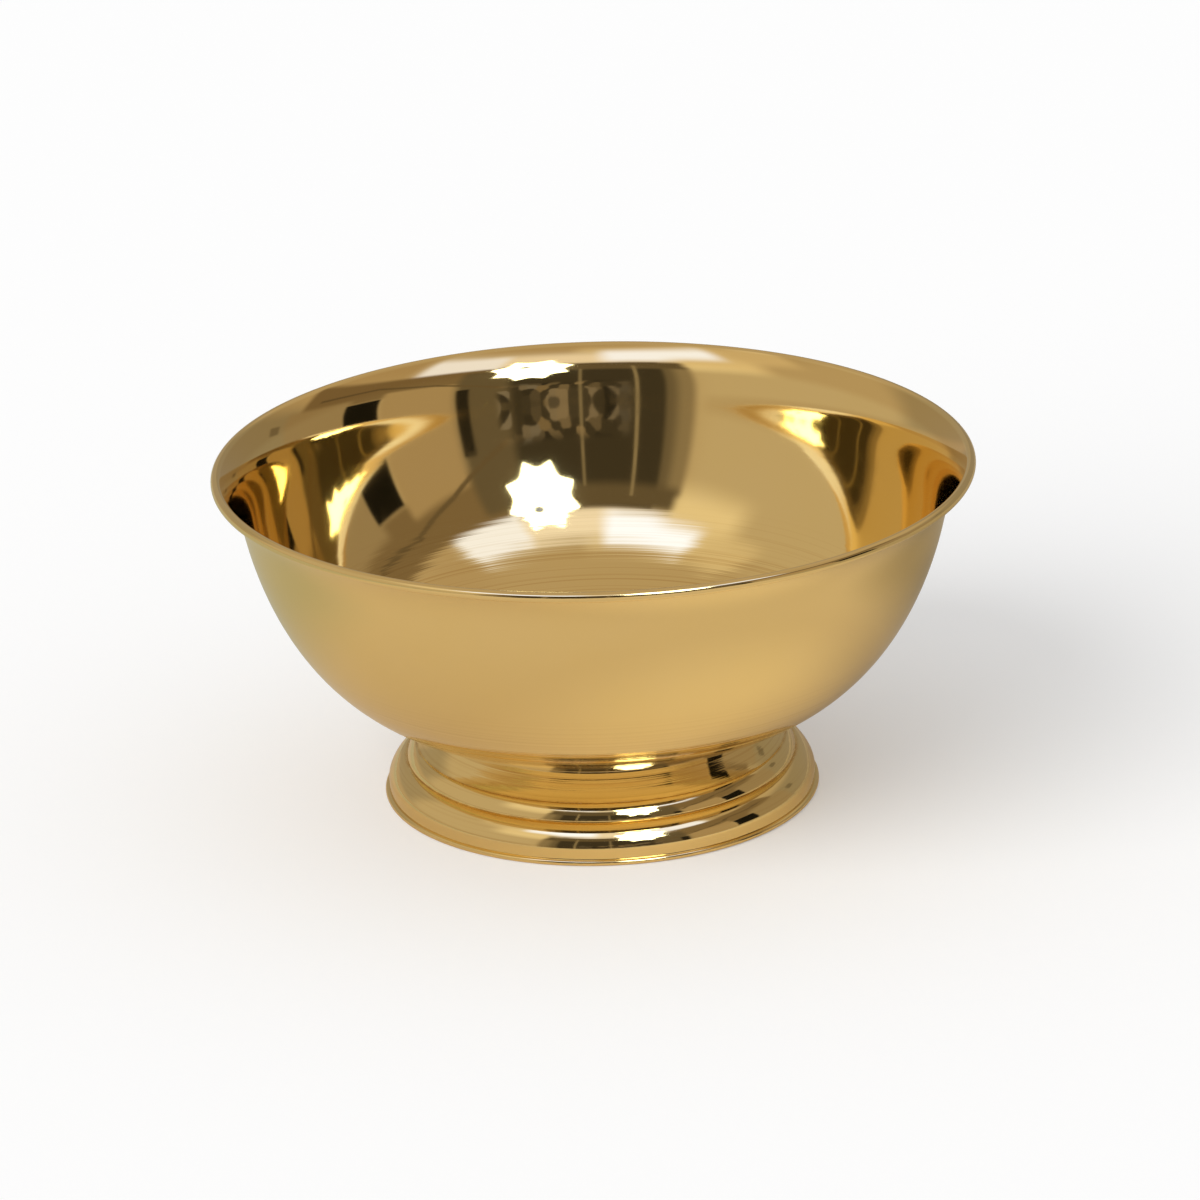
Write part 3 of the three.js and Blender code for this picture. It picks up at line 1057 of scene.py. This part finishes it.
class MakeSeat(bpy.types.Operator):
    """Makes the solder between the foot and the bowl"""

    bl_idname = "lavabo.make_seat"
    bl_label = "Seat solder"

    def execute(self, context):
        section = seat_solder_section(context.scene.lavabo_bowl, context.scene.lavabo_foot)
        turn_metal("bowl_seat_solder", section, finish("flowed_solder"), "seat_solder")
        return {"FINISHED"}


class MakeStudio(bpy.types.Operator):
    """Makes the floor, the light and the camera"""

    bl_idname = "lavabo.make_studio"
    bl_label = "Studio"

    def execute(self, context):
        studio = context.scene.lavabo_studio
        context.scene.view_settings.view_transform = "Standard"
        set_camera(studio)
        lay_floor(studio)
        hang_world(studio)
        open_umbrella()
        set_key_light(studio)
        return {"FINISHED"}


class LavaboPanel(bpy.types.Panel):
    """Lists the sizes and the makers of the lavabo bowl"""

    bl_idname = "VIEW3D_PT_lavabo"
    bl_label = "Lavabo bowl"
    bl_space_type = "VIEW_3D"
    bl_region_type = "UI"
    bl_category = "Lavabo"

    def draw(self, context):
        layout = self.layout
        for maker in MAKERS:
            layout.operator(maker.bl_idname)
        for holder in HOLDERS:
            box = layout.box()
            group = getattr(context.scene, holder)
            for name in group.bl_rna.properties.keys():
                if name not in ("rna_type", "name"):
                    box.prop(group, name)


HOLDERS = {
    "lavabo_bowl": LavaboBowlSizes,
    "lavabo_foot": LavaboFootSizes,
    "lavabo_finishes": LavaboFinishes,
    "lavabo_studio": LavaboStudio,
}
MAKERS = (MakeStudio, MakeBowl, MakeFoot, MakeRing, MakeSeat)
CLASSES = (*HOLDERS.values(), *MAKERS, LavaboPanel)


def register():
    for each in CLASSES:
        bpy.utils.register_class(each)
    for holder, group in HOLDERS.items():
        setattr(bpy.types.Scene, holder, bpy.props.PointerProperty(type=group))


def unregister():
    for holder in HOLDERS:
        delattr(bpy.types.Scene, holder)
    for each in reversed(CLASSES):
        bpy.utils.unregister_class(each)


def main():
    """Makes the bowl in its studio."""
    register()
    bpy.ops.lavabo.make_studio()
    bpy.ops.lavabo.make_bowl()
    bpy.ops.lavabo.make_foot()
    bpy.ops.lavabo.make_ring()
    bpy.ops.lavabo.make_seat()


if __name__ == "__main__":
    main()
